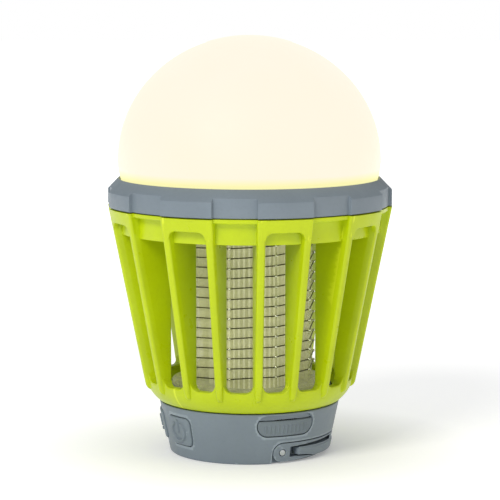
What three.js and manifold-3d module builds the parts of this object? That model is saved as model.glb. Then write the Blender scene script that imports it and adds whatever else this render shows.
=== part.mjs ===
// Rechargeable camping lantern and electric insect killer.
// Millimetres, +Z up, origin at the centre of the foot. Angles are in degrees about +Z, counted
// from the front (-Y) towards +X.

import * as THREE from 'three';
import { mergeVertices } from 'three/addons/utils/BufferGeometryUtils.js';
import Module from 'manifold-3d';

const wasm = await Module();
wasm.setup();

// ---- Driving dimensions ----

const GAP = 0.3; // between neighbouring pieces
const ROUND_STEPS = 54; // facets round the large turned parts
const MEDIUM_STEPS = 30; // facets round hidden discs and the cell
const SMALL_STEPS = 14; // facets round screws and pins
const ARC_STEP = 5; // degrees per facet of a sector

// Conical base: its outer radius grows from the foot to the shoulder that the cage sits over.
const BASE = { foot: 24.6, flare: 0.21, top: 16, shoulder: 15.1, wall: 2, footChamfer: 0.5 };
const NECK = { radius: 25.4, wall: 2, top: 20.9 };
const LEDGE = { inner: 21.2, top: 2.8 }; // ring that the bottom plate fits in

// Hanging bail: folded flush into the side of the base, on two pins a half turn apart.
const BAIL = { pivotAngle: 23.5, pivotZ: 3.45, inner: 22.9, low: 1, high: 6.4, eye: 2.95 };
const BAIL_RECESS = { floor: 22.5, radius: 3.3, back: 24, backing: 1.3, margin: 12 };
const BAIL_PIN = { radius: 0.95, clearance: 0.2, inner: 21.3, shy: 0.1 };
const BAIL_SLOT = { start: 2.5, end: 5.1, low: 1.95, high: 5.3 }; // window beside each eye
// Finger groove beyond each window, widening away from the eye.
const BAIL_GROOVE = [[5, 4.8], [20, 4.6], [20, 5.85], [5, 5.15]];

// Push buttons on the left of the base.
const BUTTON = { width: 10.4, height: 8.8, corner: 1.8, proud: 0.6, rim: 0.7, stem: 1, travel: 0.6 };
const BUTTONS = { power: { angle: -53, z: 8.75 }, mode: { angle: -87.5, z: 8.8 } };
const TACT = { side: 4.5, depth: 1.7, boardSide: 7, boardDepth: 1, plunger: 1.2 };

// Charging port under a rubber cover, right of the front.
const PORT = { angle: 25, z: 12.1, length: 19.2, height: 7, depth: 1.3, coverTop: 13.7, low: 5 };
const SOCKET = { width: 7.6, height: 2.8, depth: 5.4, z: 12.2, setback: 1.9 };

// Cage: nine raised arches, each with two fins, and nine windows between them.
const ARCH = { count: 9, first: 14.4, halfAngle: 11.2, thick: 1.5, crown: 72.5, corner: 2.3 };
const ARCH_SPAN = [30, 60]; // distances from the axis that a cut through an arch runs between
const FIN = { offset: 9.6, thick: 2.5, inner: 29.4, innerZ: 21.3, lowZ: 20.6, topZ: 75 };
const RIDGE = { low: 32.75, slope: 0.2035 }; // radius of the fins' outer edges at lowZ and above
const CUP = { bottom: 16.3, lip: 28, rim: 23.1, floor: 20.5, bore: 25.8, rebate: 26.8 };
const CUP_SIDE = [[29.5, 17.6], [30.6, 19], [31.4, 20.3], [31.8, 21.5], [32.1, CUP.rim]];
const BAND = { inner: 39.3, outer: 40.5, bottom: 68.7, lipOuter: 42.9, lip: 75.3, top: 76.5 };
const LUG = { count: 3, first: 60, halfAngle: 4, inner: 24.6, low: 17.9, high: 19, turn: 18 };
const SEAL = { inner: 25.7, outer: 26.5, low: 16.3, high: 17.3 };

// Grey trim ring, dome and reflector above the cage.
const RING = { bottom: 76.8, recess: 42.9, raised: 44, seat: 81.4, skirt: 41, skirtTop: 79.1, bore: 37 };
const BEVEL = { inner: 40.1, top: 85.5, fall: 1.026 };
// The dome is two half ellipses on one waist: height above it and depth below it.
const DOME = { radius: 40.6, waist: 90.5, height: 38.3, depth: 25, wall: 1.6, foot: 81.7, neck: 84.8 };
const REFLECTOR = { inner: 24.5, outer: 40.6, low: 77.3, high: 78.5 };

// High-voltage grid: a nine-sided clear carrier with a rib at each corner, and two wires round it.
const GRID = { sides: 9, first: 23, corner: 19.6, wall: 1.2, bottom: 22.5, top: 69.1 };
const RIB = { radius: 0.9, centre: 19.2, steps: 10 };
const FLANGE = { radius: 24, thick: 1.5 };
const WIRE = { corner: 20.6, radius: 0.2, first: -57, pitch: 6.17, low: 24.6, spans: 60 };
const CAP = { radius: 23.5, low: 69.4, high: 71.4, bossInner: 9.7, bossOuter: 13, bossTop: 76.1 };

// Centre column: battery cell, ultraviolet strips round it, fluted cover tube.
const CELL = { radius: 9.1, low: 10.1, high: 73.7, nub: 3, nubHeight: 0.9 };
const SPRING = { foot: 4.4, top: 2.8, low: 6.7, high: 9.4, wire: 0.3, coils: 3, steps: 36 };
const CONTACT = { radius: 6, low: 75, high: 75.5 };
const TUBE = { ridge: 12.5, valley: 12, inner: 11.5, flutes: 32, low: 21.1, high: 69 };
const STRIP = { count: 4, first: 0, distance: 9.6, thick: 0.8, width: 5, low: 25, high: 65 };
const STRIP_LED = { side: 2.8, thick: 0.7, heights: [34, 56] };

// Electronics.
const BOARD = { radius: 15.5, low: 4.4, high: 6 };
const TRANSFORMER = { width: 9, depth: 5, high: 11.5, distance: 12.6, angle: 200 };
const CAPACITOR = { width: 7, depth: 4, high: 10.5, distance: 12.4, angle: 150 };
const PORT_BOARD = { width: 10, depth: 6, low: 9.3, high: 10.3, distance: 19.4 };
const LAMP_BOARD = { radius: 21, low: 76.4, high: 77.8 };
const LAMP_LED = { count: 6, ring: 16, side: 3, low: 78.1, high: 78.9 };
const DECK = { radius: 23.1, low: 19.1, high: 20.7, bore: 9.8 };

// Bottom plate and its screws.
const PLATE = { radius: 20.9, low: 0.9, high: 2.3 };
const BOSS = { count: 3, first: -10, ring: 18.2, radius: 2.3, low: 2.6, high: 9 };
const SCREW = { head: 1.6, headLow: 0.4, headHigh: 1.6, shank: 0.8, tip: 7.5 };

// Distances from the axis between which every cut through the base's wall runs.
const THROUGH = { near: 18, far: 40 };

const COLOUR = {
  grey: 0x7c8790,
  green: 0xc3d533,
  diffuser: 0xfffae8,
  rubber: 0x727c84,
  clear: 0xb3b48a,
  white: 0xf2f1ea,
  wire: 0x5a5a52,
  board: 0x2c6b3f,
  metal: 0xb9bcc0,
  cell: 0x3c6fae,
  black: 0x26282b,
  copper: 0xb5763a,
};

// ---- Shape helpers ----

const radians = THREE.MathUtils.degToRad;

function polar(radius, angle) {
  const a = radians(angle);
  return new THREE.Vector2(radius * Math.sin(a), -radius * Math.cos(a));
}

function baseRadius(z) {
  return BASE.foot + BASE.flare * z;
}

function finRadius(z) {
  return RIDGE.low + RIDGE.slope * (z - FIN.lowZ);
}

// A closed geometry as a solid: shared corners merged and triangles of no area left out.
function solid(geometry) {
  const bare = geometry.clone();
  bare.deleteAttribute('normal');
  bare.deleteAttribute('uv');
  const merged = mergeVertices(bare, 1e-4);
  const corners = merged.index.array;
  const kept = [];
  for (let i = 0; i < corners.length; i += 3) {
    const [a, b, c] = [corners[i], corners[i + 1], corners[i + 2]];
    if (a !== b && b !== c && c !== a) {
      kept.push(a, b, c);
    }
  }
  const mesh = new wasm.Mesh({
    numProp: 3,
    vertProperties: new Float32Array(merged.attributes.position.array),
    triVerts: new Uint32Array(kept),
  });
  return new wasm.Manifold(mesh);
}

function geometryOf(shape) {
  const mesh = shape.getMesh();
  const geometry = new THREE.BufferGeometry();
  geometry.setAttribute('position', new THREE.BufferAttribute(mesh.vertProperties, 3));
  geometry.setIndex(new THREE.BufferAttribute(mesh.triVerts, 1));
  geometry.computeVertexNormals();
  return geometry;
}

// Turns a profile of [radius, z] points, listed anticlockwise, about the Z axis.
function revolve(profile, steps = ROUND_STEPS) {
  const points = profile.map(([r, z]) => new THREE.Vector2(r, z));
  if (profile[0][0] > 0) {
    points.push(points[0].clone());
  }
  const geometry = new THREE.LatheGeometry(points, steps);
  geometry.rotateX(Math.PI / 2);
  return solid(geometry);
}

function ring(inner, outer, low, high, steps = ROUND_STEPS) {
  return revolve([[inner, low], [outer, low], [outer, high], [inner, high]], steps);
}

function disc(radius, low, high, steps = ROUND_STEPS) {
  return revolve([[0, low], [radius, low], [radius, high], [0, high]], steps);
}

function prism(points, low, high) {
  const options = { depth: high - low, bevelEnabled: false };
  const geometry = new THREE.ExtrudeGeometry(new THREE.Shape(points), options);
  geometry.translate(0, 0, low);
  return solid(geometry);
}

function sector(from, to, inner, outer, low, high) {
  const steps = Math.ceil((to - from) / ARC_STEP);
  const angles = Array.from({ length: steps + 1 }, (_, i) => from + ((to - from) * i) / steps);
  const points = angles.map((angle) => polar(outer, angle));
  points.push(...angles.reverse().map((angle) => polar(inner, angle)));
  return prism(points, low, high);
}

// Local x runs to the right as seen from outside, y is up and z is outward at the angle.
function facing(angle) {
  const a = radians(angle);
  const right = new THREE.Vector3(Math.cos(a), Math.sin(a), 0);
  const up = new THREE.Vector3(0, 0, 1);
  const out = new THREE.Vector3(Math.sin(a), -Math.cos(a), 0);
  return new THREE.Matrix4().makeBasis(right, up, out);
}

// Extrudes an outline, drawn as seen from outside, between two distances from the Z axis.
function panel(outline, angle, near, far) {
  const options = { depth: far - near, bevelEnabled: false, curveSegments: 4 };
  const geometry = new THREE.ExtrudeGeometry(outline, options);
  geometry.translate(0, 0, near);
  geometry.applyMatrix4(facing(angle));
  return solid(geometry);
}

// The same, right through the base's wall.
function through(outline, angle) {
  return panel(outline, angle, THROUGH.near, THROUGH.far);
}

function roundedRectangle(width, height, corner, middle) {
  const x = width / 2 - corner;
  const y = height / 2 - corner;
  const outline = new THREE.Shape();
  outline.absarc(x, middle + y, corner, 0, Math.PI / 2);
  outline.absarc(-x, middle + y, corner, Math.PI / 2, Math.PI);
  outline.absarc(-x, middle - y, corner, Math.PI, 1.5 * Math.PI);
  outline.absarc(x, middle - y, corner, 1.5 * Math.PI, 2 * Math.PI);
  return outline;
}

function rectangle(left, right, low, high) {
  const corners = [[left, low], [right, low], [right, high], [left, high]];
  return new THREE.Shape(corners.map(([x, y]) => new THREE.Vector2(x, y)));
}

function circle(radius, x, y) {
  const outline = new THREE.Shape();
  outline.absarc(x, y, radius, 0, 2 * Math.PI);
  return outline;
}

function rod(radius, low, high, x, y, steps = SMALL_STEPS) {
  return disc(radius, low, high, steps).translate([x, y, 0]);
}

function box(width, depth, low, high, distance, angle) {
  const outline = rectangle(-width / 2, width / 2, low, high);
  return panel(outline, angle, distance - depth / 2, distance + depth / 2);
}

// The layer of the base's conical wall between two depths below its surface.
function baseLayer(outerDepth, innerDepth, low, high) {
  return revolve([
    [baseRadius(low) - innerDepth, low],
    [baseRadius(low) - outerDepth, low],
    [baseRadius(high) - outerDepth, high],
    [baseRadius(high) - innerDepth, high],
  ]);
}

function turns(count, first) {
  return Array.from({ length: count }, (_, i) => first + (360 * i) / count);
}

function union(shapes) {
  return shapes.reduce((whole, shape) => whole.add(shape));
}

const group = new THREE.Group();
group.name = 'insect_killer_lantern';

function place(name, shape, color, roughness = 0.5, metalness = 0) {
  const material = new THREE.MeshStandardMaterial({ color, roughness, metalness });
  const mesh = new THREE.Mesh(geometryOf(shape), material);
  mesh.name = name;
  group.add(mesh);
}

// ---- Base ----

// Space swept by the folded bail: open below and rounded round each eye.
function bailRecess() {
  const low = -1;
  const high = BAIL.pivotZ + BAIL_RECESS.radius;
  const start = BAIL.pivotAngle;
  const outer = baseRadius(high) + 1;
  const strap = sector(start, start + 180, BAIL_RECESS.floor, outer, low, high);
  const ends = [start, start + 180].map((angle) => {
    const eye = panel(circle(BAIL_RECESS.radius, 0, BAIL.pivotZ), angle, BAIL_RECESS.floor, outer);
    const foot = rectangle(-BAIL_RECESS.radius, BAIL_RECESS.radius, low, BAIL.pivotZ);
    return eye.add(panel(foot, angle, BAIL_RECESS.floor, outer));
  });
  return union([strap, ...ends]);
}

// Wall behind the recess and the roof over it.
function bailHousing() {
  const high = BAIL.pivotZ + BAIL_RECESS.radius + BAIL_RECESS.backing;
  const from = BAIL.pivotAngle - BAIL_RECESS.margin;
  const to = BAIL.pivotAngle + 180 + BAIL_RECESS.margin;
  return sector(from, to, LEDGE.inner, BAIL_RECESS.back, 0, high);
}

function neckSlot(angle) {
  const floor = LUG.inner - GAP - 0.1;
  const outer = NECK.radius + 1;
  const half = LUG.halfAngle + 1;
  const low = LUG.low - GAP;
  const entry = sector(angle - half, angle + half, floor, outer, low, NECK.top + 1);
  const run = sector(angle - half - LUG.turn, angle + half, floor, outer, low, LUG.high + GAP);
  return entry.add(run);
}

function buttonOutline(spec, grow) {
  const corner = BUTTON.corner + grow;
  return roundedRectangle(BUTTON.width + 2 * grow, BUTTON.height + 2 * grow, corner, spec.z);
}

function stadium(grow) {
  const height = PORT.height + 2 * grow;
  return roundedRectangle(PORT.length + 2 * grow, height, height / 2 - 0.01, PORT.z);
}

function screwBoss(angle) {
  const [x, y] = polar(BOSS.ring, angle).toArray();
  const post = rod(BOSS.radius, BOSS.low, BOSS.high, x, y);
  const web = box(2, 5, BOSS.low, BOSS.high, BOSS.ring + 3, angle);
  return post.add(web).subtract(rod(SCREW.shank + 0.2, 0, SCREW.tip + 0.6, x, y));
}

function baseShell() {
  const body = revolve([
    [LEDGE.inner, 0],
    [BASE.foot - BASE.footChamfer, 0],
    [baseRadius(BASE.footChamfer), BASE.footChamfer],
    [baseRadius(BASE.top), BASE.top],
    [NECK.radius, BASE.top],
    [NECK.radius, NECK.top],
    [NECK.radius - NECK.wall, NECK.top],
    [NECK.radius - NECK.wall, BASE.top],
    [baseRadius(BASE.shoulder) - BASE.wall, BASE.shoulder],
    [baseRadius(LEDGE.top) - BASE.wall, LEDGE.top],
    [LEDGE.inner, LEDGE.top],
  ]);
  const thicker = through(stadium(1.5), PORT.angle).intersect(
    baseLayer(1, PORT.depth + 1.7, PORT.low, BASE.top - 0.2),
  );
  const bosses = turns(BOSS.count, BOSS.first).map(screwBoss);
  let shell = union([body, bailHousing(), thicker, ...bosses]);
  const portRecess = through(stadium(0), PORT.angle).intersect(
    baseLayer(-2, PORT.depth, PORT.low, BASE.top + 5),
  );
  const socketHole = roundedRectangle(SOCKET.width + 1, SOCKET.height + 1, 1.2, SOCKET.z);
  shell = shell.subtract(bailRecess()).subtract(portRecess);
  shell = shell.subtract(through(socketHole, PORT.angle));
  for (const spec of Object.values(BUTTONS)) {
    shell = shell.subtract(through(buttonOutline(spec, GAP), spec.angle));
  }
  for (const angle of [BAIL.pivotAngle, BAIL.pivotAngle + 180]) {
    const hole = circle(BAIL_PIN.radius + BAIL_PIN.clearance, 0, BAIL.pivotZ);
    shell = shell.subtract(through(hole, angle));
  }
  for (const angle of turns(LUG.count, LUG.first)) {
    shell = shell.subtract(neckSlot(angle));
  }
  return shell;
}

function bottomPlate() {
  let plate = disc(PLATE.radius, PLATE.low, PLATE.high, MEDIUM_STEPS);
  for (const angle of turns(BOSS.count, BOSS.first)) {
    const [x, y] = polar(BOSS.ring, angle).toArray();
    plate = plate.subtract(rod(SCREW.shank + GAP, 0, PLATE.high + 1, x, y));
    plate = plate.subtract(rod(SCREW.head + GAP, 0, SCREW.headHigh + GAP, x, y));
  }
  return plate;
}

function screw(x, y, spec = SCREW) {
  const profile = [
    [0, spec.headLow],
    [spec.head, spec.headLow],
    [spec.head, spec.headHigh],
    [spec.shank, spec.headHigh],
    [spec.shank, spec.tip],
    [0, spec.tip],
  ];
  const drive = box(2, 0.6, spec.headLow - 1, spec.headLow + 0.5, 0, 0);
  return revolve(profile, SMALL_STEPS).subtract(drive).translate([x, y, 0]);
}

function buttonCap(spec) {
  const reach = BASE.wall + GAP;
  const low = spec.z - BUTTON.height / 2 - 2;
  const high = spec.z + BUTTON.height / 2 + 2;
  const face = through(buttonOutline(spec, 0), spec.angle).intersect(
    baseLayer(-BUTTON.proud, reach + BUTTON.rim, low, high),
  );
  const rim = through(buttonOutline(spec, BUTTON.rim), spec.angle).intersect(
    baseLayer(reach, reach + BUTTON.rim, low, high),
  );
  const back = baseRadius(spec.z) - reach - BUTTON.rim;
  const stem = panel(circle(TACT.plunger, 0, spec.z), spec.angle, back - BUTTON.stem, back + 0.5);
  return union([face, rim, stem]);
}

// Where a switch's face stands: behind the cap's stem, by the cap's travel.
function switchFront(spec) {
  return baseRadius(spec.z) - BASE.wall - GAP - BUTTON.rim - BUTTON.stem - BUTTON.travel - 0.1;
}

function tactSwitch(spec) {
  const distance = switchFront(spec) - TACT.depth / 2;
  const half = TACT.side / 2;
  return box(TACT.side, TACT.depth, spec.z - half, spec.z + half, distance, spec.angle);
}

function buttonBoard(spec) {
  const distance = switchFront(spec) - TACT.depth - GAP - TACT.boardDepth / 2;
  const half = TACT.boardSide / 2;
  return box(TACT.boardSide, TACT.boardDepth, spec.z - half, spec.z + half, distance, spec.angle);
}

// Rubber cover: the lower part of the port's outline, with a plug on its back.
function portCover() {
  const below = rectangle(-PORT.length, PORT.length, 0, PORT.coverTop);
  const skin = through(stadium(-GAP), PORT.angle)
    .intersect(through(below, PORT.angle))
    .intersect(baseLayer(0, PORT.depth - GAP, PORT.low, BASE.top + 5));
  const back = baseRadius(SOCKET.z) - PORT.depth;
  const plug = roundedRectangle(SOCKET.width - 1.2, SOCKET.height - 1, 0.6, SOCKET.z - 0.2);
  return skin.add(panel(plug, PORT.angle, back - 0.7, back + 0.6));
}

function usbSocket() {
  const front = baseRadius(SOCKET.z) - PORT.depth - SOCKET.setback;
  const back = front - SOCKET.depth;
  const shell = roundedRectangle(SOCKET.width, SOCKET.height, 0.8, SOCKET.z);
  const mouth = roundedRectangle(SOCKET.width - 0.8, SOCKET.height - 0.8, 0.4, SOCKET.z);
  return panel(shell, PORT.angle, back, front).subtract(
    panel(mouth, PORT.angle, back + 1, front + 1),
  );
}

// ---- Bail ----

// One end of the bail in the plane across its pin: the eye and the plate beside it. side is +1
// where the strap lies to the right.
function bailEnd(angle, side) {
  const plateEnd = side * (BAIL_SLOT.end + 0.5);
  const low = BAIL.pivotZ - BAIL.eye;
  const plate = rectangle(Math.min(0, plateEnd), Math.max(0, plateEnd), low, BAIL.high);
  const eye = circle(BAIL.eye, 0, BAIL.pivotZ);
  return through(eye, angle).add(through(plate, angle));
}

// What is cut from that end: the window, the finger groove and the hole for the pin.
function bailEndCuts(angle, side) {
  const [start, end] = [side * BAIL_SLOT.start, side * BAIL_SLOT.end].sort((a, b) => a - b);
  const window = rectangle(start, end, BAIL_SLOT.low, BAIL_SLOT.high);
  const corners = BAIL_GROOVE.map(([x, z]) => new THREE.Vector2(side * x, z));
  const groove = new THREE.Shape(corners);
  const hole = circle(BAIL_PIN.radius + BAIL_PIN.clearance, 0, BAIL.pivotZ);
  return union([window, groove, hole].map((outline) => panel(outline, angle, 5, THROUGH.far)));
}

function bail() {
  const start = BAIL.pivotAngle;
  const inset = 12;
  const strap = sector(start + inset, start + 180 - inset, 15, 30, BAIL.low, BAIL.high);
  const band = baseLayer(0, baseRadius(BAIL.high) - BAIL.inner + 3, 0.15, BAIL.high + 1)
    .subtract(disc(BAIL.inner, -1, BAIL.high + 2));
  return union([strap, bailEnd(start, 1), bailEnd(start + 180, -1)])
    .intersect(band)
    .subtract(bailEndCuts(start, 1))
    .subtract(bailEndCuts(start + 180, -1));
}

function bailPin(angle) {
  const outline = circle(BAIL_PIN.radius, 0, BAIL.pivotZ);
  return panel(outline, angle, BAIL_PIN.inner, baseRadius(BAIL.pivotZ) - BAIL_PIN.shy);
}

// ---- Cage ----

function fin(angle) {
  const outline = [
    [FIN.inner, FIN.innerZ],
    [RIDGE.low, FIN.lowZ],
    [finRadius(BAND.top), BAND.top],
    [BAND.inner + 0.2, BAND.top],
    [BAND.inner + 0.2, FIN.topZ],
    [FIN.inner, FIN.topZ],
  ];
  const shape = new THREE.Shape(outline.map(([r, z]) => new THREE.Vector2(r, z)));
  const geometry = new THREE.ExtrudeGeometry(shape, { depth: FIN.thick, bevelEnabled: false });
  geometry.translate(0, 0, -FIN.thick / 2);
  geometry.rotateX(Math.PI / 2);
  geometry.rotateZ(radians(angle - 90));
  return solid(geometry);
}

// Raised face over one pair of fins, with the round-cornered head of the window under it.
function arch(angle) {
  const low = ARCH.crown - ARCH.corner - 0.6;
  const face = revolve([
    [finRadius(low) - ARCH.thick, low],
    [finRadius(low), low],
    [finRadius(BAND.top), BAND.top],
    [finRadius(BAND.top) - ARCH.thick, BAND.top],
  ]);
  const piece = face.intersect(
    sector(angle - ARCH.halfAngle, angle + ARCH.halfAngle, ...ARCH_SPAN, low - 1, BAND.top + 1),
  );
  const width = 2 * (finRadius(ARCH.crown) * Math.sin(radians(FIN.offset)) - FIN.thick / 2);
  const window = roundedRectangle(width, 20, ARCH.corner, ARCH.crown - 10);
  return piece.subtract(panel(window, angle, ...ARCH_SPAN));
}

function cup() {
  return revolve([
    [CUP.rebate, CUP.bottom],
    [CUP.lip, CUP.bottom],
    ...CUP_SIDE,
    [FIN.inner, CUP.rim],
    [FIN.inner, CUP.floor + 1],
    [CUP.bore, CUP.floor],
    [CUP.bore, SEAL.high + GAP],
    [CUP.rebate, SEAL.high + GAP],
  ]);
}

function cageBand() {
  return revolve([
    [BAND.inner, BAND.bottom],
    [BAND.outer, BAND.bottom],
    [BAND.outer, BAND.lip],
    [BAND.lipOuter, BAND.lip],
    [BAND.lipOuter, BAND.top],
    [BAND.inner, BAND.top],
  ]);
}

function cage() {
  const parts = [cup(), cageBand()];
  for (const angle of turns(ARCH.count, ARCH.first)) {
    parts.push(fin(angle - FIN.offset), fin(angle + FIN.offset), arch(angle));
  }
  for (const angle of turns(LUG.count, LUG.first)) {
    const half = LUG.halfAngle;
    parts.push(sector(angle - half, angle + half, LUG.inner, CUP.bore + 0.6, LUG.low, LUG.high));
  }
  return union(parts);
}

// ---- Trim ring, dome and reflector ----

function bevelZ(radius) {
  return BEVEL.top - (radius - BEVEL.inner) * BEVEL.fall;
}

function trimRing() {
  const body = revolve([
    [RING.skirt, RING.bottom],
    [RING.recess, RING.bottom],
    [RING.recess, bevelZ(RING.recess)],
    [BEVEL.inner, BEVEL.top],
    [BEVEL.inner, RING.seat],
    [RING.bore, RING.seat],
    [RING.bore, RING.skirtTop],
    [RING.skirt, RING.skirtTop],
  ]);
  const raised = revolve([
    [RING.recess - 1, RING.bottom],
    [RING.raised, RING.bottom],
    [RING.raised, bevelZ(RING.raised)],
    [RING.recess - 1, bevelZ(RING.recess - 1)],
  ]);
  const segments = turns(ARCH.count, ARCH.first).map((angle) =>
    sector(angle - ARCH.halfAngle, angle + ARCH.halfAngle, ...ARCH_SPAN, RING.bottom - 1, BEVEL.top),
  );
  return body.add(raised.intersect(union(segments)));
}

// Points of the dome's outline, drawn in by an inset, from its neck up to the crown.
function domeOutline(inset, steps) {
  const radius = DOME.radius - inset;
  const low = -Math.asin((DOME.waist - DOME.neck) / (DOME.depth - inset));
  return Array.from({ length: steps + 1 }, (_, i) => {
    const a = low + ((Math.PI / 2 - low) * i) / steps;
    const rise = (a < 0 ? DOME.depth : DOME.height) - inset;
    return [i === steps ? 0 : radius * Math.cos(a), DOME.waist + rise * Math.sin(a)];
  });
}

function dome() {
  const outside = domeOutline(0, 12);
  const inside = domeOutline(DOME.wall, 9).reverse();
  const footOuter = outside[0][0];
  return revolve([
    ...inside,
    [footOuter - DOME.wall, DOME.foot],
    [footOuter, DOME.foot],
    ...outside,
  ]);
}

// ---- Grid ----

function polygonPoints(radius, sides, first) {
  return turns(sides, first).map((angle) => polar(radius, angle));
}

function gridCarrier() {
  const outer = polygonPoints(GRID.corner, GRID.sides, GRID.first);
  const inner = polygonPoints(GRID.corner - GRID.wall, GRID.sides, GRID.first);
  const tube = prism(outer, GRID.bottom - 0.5, GRID.top);
  const ribs = turns(GRID.sides, GRID.first).map((angle) => {
    const [x, y] = polar(RIB.centre, angle).toArray();
    return rod(RIB.radius, GRID.bottom - 0.5, GRID.top, x, y, RIB.steps);
  });
  const flange = disc(FLANGE.radius, GRID.bottom - FLANGE.thick, GRID.bottom);
  const bore = prism(inner, GRID.bottom - FLANGE.thick - 1, GRID.top + 1);
  return union([tube, flange, ...ribs]).subtract(bore);
}

class GridWire extends THREE.Curve {
  constructor(start) {
    super();
    this.start = start;
  }

  getPoint(t, target = new THREE.Vector3()) {
    const corner = t * WIRE.spans;
    const before = Math.min(Math.floor(corner), WIRE.spans - 1);
    const from = polar(WIRE.corner, WIRE.first + (before * 360) / GRID.sides);
    const to = polar(WIRE.corner, WIRE.first + ((before + 1) * 360) / GRID.sides);
    const at = from.lerp(to, corner - before);
    return target.set(at.x, at.y, this.start + (corner / GRID.sides) * WIRE.pitch);
  }
}

function gridWire(start) {
  const outline = new THREE.Shape(turns(5, 0).map((angle) => polar(WIRE.radius, angle)));
  const path = new GridWire(start);
  path.getPointAt = path.getPoint; // one step of the sweep for each straight span
  const options = { steps: WIRE.spans, bevelEnabled: false, extrudePath: path };
  return solid(new THREE.ExtrudeGeometry(outline, options));
}

function gridCap() {
  return revolve([
    [CAP.bossInner, CAP.low],
    [CAP.radius, CAP.low],
    [CAP.radius, CAP.high],
    [CAP.bossOuter, CAP.high],
    [CAP.bossOuter, CAP.bossTop],
    [CAP.bossInner, CAP.bossTop],
  ], MEDIUM_STEPS);
}

// ---- Centre column ----

function flutedTube() {
  const points = turns(TUBE.flutes * 2, 0).map((angle, i) =>
    polar(i % 2 ? TUBE.valley : TUBE.ridge, angle),
  );
  const bore = disc(TUBE.inner, TUBE.low - 1, TUBE.high + 1, MEDIUM_STEPS);
  return prism(points, TUBE.low, TUBE.high).subtract(bore);
}

function batteryCell() {
  return revolve(
    [
      [0, CELL.low],
      [CELL.radius, CELL.low],
      [CELL.radius, CELL.high],
      [CELL.nub, CELL.high],
      [CELL.nub, CELL.high + CELL.nubHeight],
      [0, CELL.high + CELL.nubHeight],
    ],
    MEDIUM_STEPS,
  );
}

class ConicalCoil extends THREE.Curve {
  getPoint(t, target = new THREE.Vector3()) {
    const a = t * SPRING.coils * 2 * Math.PI;
    const radius = SPRING.foot + (SPRING.top - SPRING.foot) * t;
    const z = SPRING.low + (SPRING.high - SPRING.low) * t;
    return target.set(radius * Math.cos(a), radius * Math.sin(a), z);
  }
}

function contactSpring() {
  const outline = new THREE.Shape(turns(5, 0).map((angle) => polar(SPRING.wire, angle)));
  const options = { steps: SPRING.steps, bevelEnabled: false, extrudePath: new ConicalCoil() };
  return solid(new THREE.ExtrudeGeometry(outline, options));
}

function uvStrip(angle) {
  const distance = STRIP.distance + STRIP.thick / 2;
  const board = box(STRIP.width, STRIP.thick, STRIP.low, STRIP.high, distance, angle);
  const half = STRIP_LED.side / 2;
  const front = STRIP.distance + STRIP.thick + STRIP_LED.thick / 2 - 0.05;
  const leds = STRIP_LED.heights.map((z) =>
    box(STRIP_LED.side, STRIP_LED.thick, z - half, z + half, front, angle),
  );
  return union([board, ...leds]);
}

// ---- Flat pieces ----

function hiddenDisc(spec) {
  return disc(spec.radius, spec.low, spec.high, MEDIUM_STEPS);
}

function deck() {
  return ring(DECK.bore, DECK.radius, DECK.low, DECK.high, MEDIUM_STEPS);
}

function sealRing() {
  return ring(SEAL.inner, SEAL.outer, SEAL.low, SEAL.high, MEDIUM_STEPS);
}

function reflector() {
  return ring(REFLECTOR.inner, REFLECTOR.outer, REFLECTOR.low, REFLECTOR.high);
}

// A component standing on the control board.
function onBoard(spec) {
  return box(spec.width, spec.depth, BOARD.high + GAP, spec.high, spec.distance, spec.angle);
}

function portBoard() {
  const { width, depth, low, high, distance } = PORT_BOARD;
  return box(width, depth, low, high, distance, PORT.angle);
}

function lampLed(angle) {
  return box(LAMP_LED.side, LAMP_LED.side, LAMP_LED.low, LAMP_LED.high, LAMP_LED.ring, angle);
}

// ---- Assembly ----

place('base_shell', baseShell(), COLOUR.grey, 0.5);
place('base_bottom_plate', bottomPlate(), COLOUR.grey, 0.6);
turns(BOSS.count, BOSS.first).forEach((angle, i) => {
  const [x, y] = polar(BOSS.ring, angle).toArray();
  place(`bottom_screw_${i + 1}`, screw(x, y), COLOUR.metal, 0.35, 1);
});
place('base_deck', deck(), COLOUR.grey, 0.6);
place('control_board', hiddenDisc(BOARD), COLOUR.board, 0.5);
place('hv_transformer', onBoard(TRANSFORMER), COLOUR.copper, 0.5);
place('hv_capacitor', onBoard(CAPACITOR), COLOUR.black, 0.4);
place('port_board', portBoard(), COLOUR.board, 0.5);
place('usb_socket', usbSocket(), COLOUR.metal, 0.3, 1);
place('port_cover', portCover(), COLOUR.rubber, 0.75);
for (const [name, spec] of Object.entries(BUTTONS)) {
  place(`${name}_button`, buttonCap(spec), COLOUR.grey, 0.5);
  place(`${name}_switch`, tactSwitch(spec), COLOUR.black, 0.4);
  place(`${name}_switch_board`, buttonBoard(spec), COLOUR.board, 0.5);
}
place('bail', bail(), COLOUR.grey, 0.5);
place('bail_pin_front', bailPin(BAIL.pivotAngle), COLOUR.metal, 0.3, 1);
place('bail_pin_rear', bailPin(BAIL.pivotAngle + 180), COLOUR.metal, 0.3, 1);

place('battery_cell', batteryCell(), COLOUR.cell, 0.4);
place('battery_spring', contactSpring(), COLOUR.metal, 0.3, 1);
place('battery_contact', hiddenDisc(CONTACT), COLOUR.metal, 0.3, 1);
place('uv_cover_tube', flutedTube(), COLOUR.clear, 0.25);
turns(STRIP.count, STRIP.first).forEach((angle, i) => {
  place(`uv_led_strip_${i + 1}`, uvStrip(angle), COLOUR.white, 0.5);
});
place('grid_carrier', gridCarrier(), COLOUR.clear, 0.3);
place('grid_cap', gridCap(), COLOUR.white, 0.5);
place('grid_wire_a', gridWire(WIRE.low), COLOUR.wire, 0.35, 1);
place('grid_wire_b', gridWire(WIRE.low + WIRE.pitch / 2), COLOUR.wire, 0.35, 1);
place('lamp_board', hiddenDisc(LAMP_BOARD), COLOUR.white, 0.5);
turns(LAMP_LED.count, 0).forEach((angle, i) => {
  place(`lamp_led_${i + 1}`, lampLed(angle), COLOUR.diffuser, 0.3);
});

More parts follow.
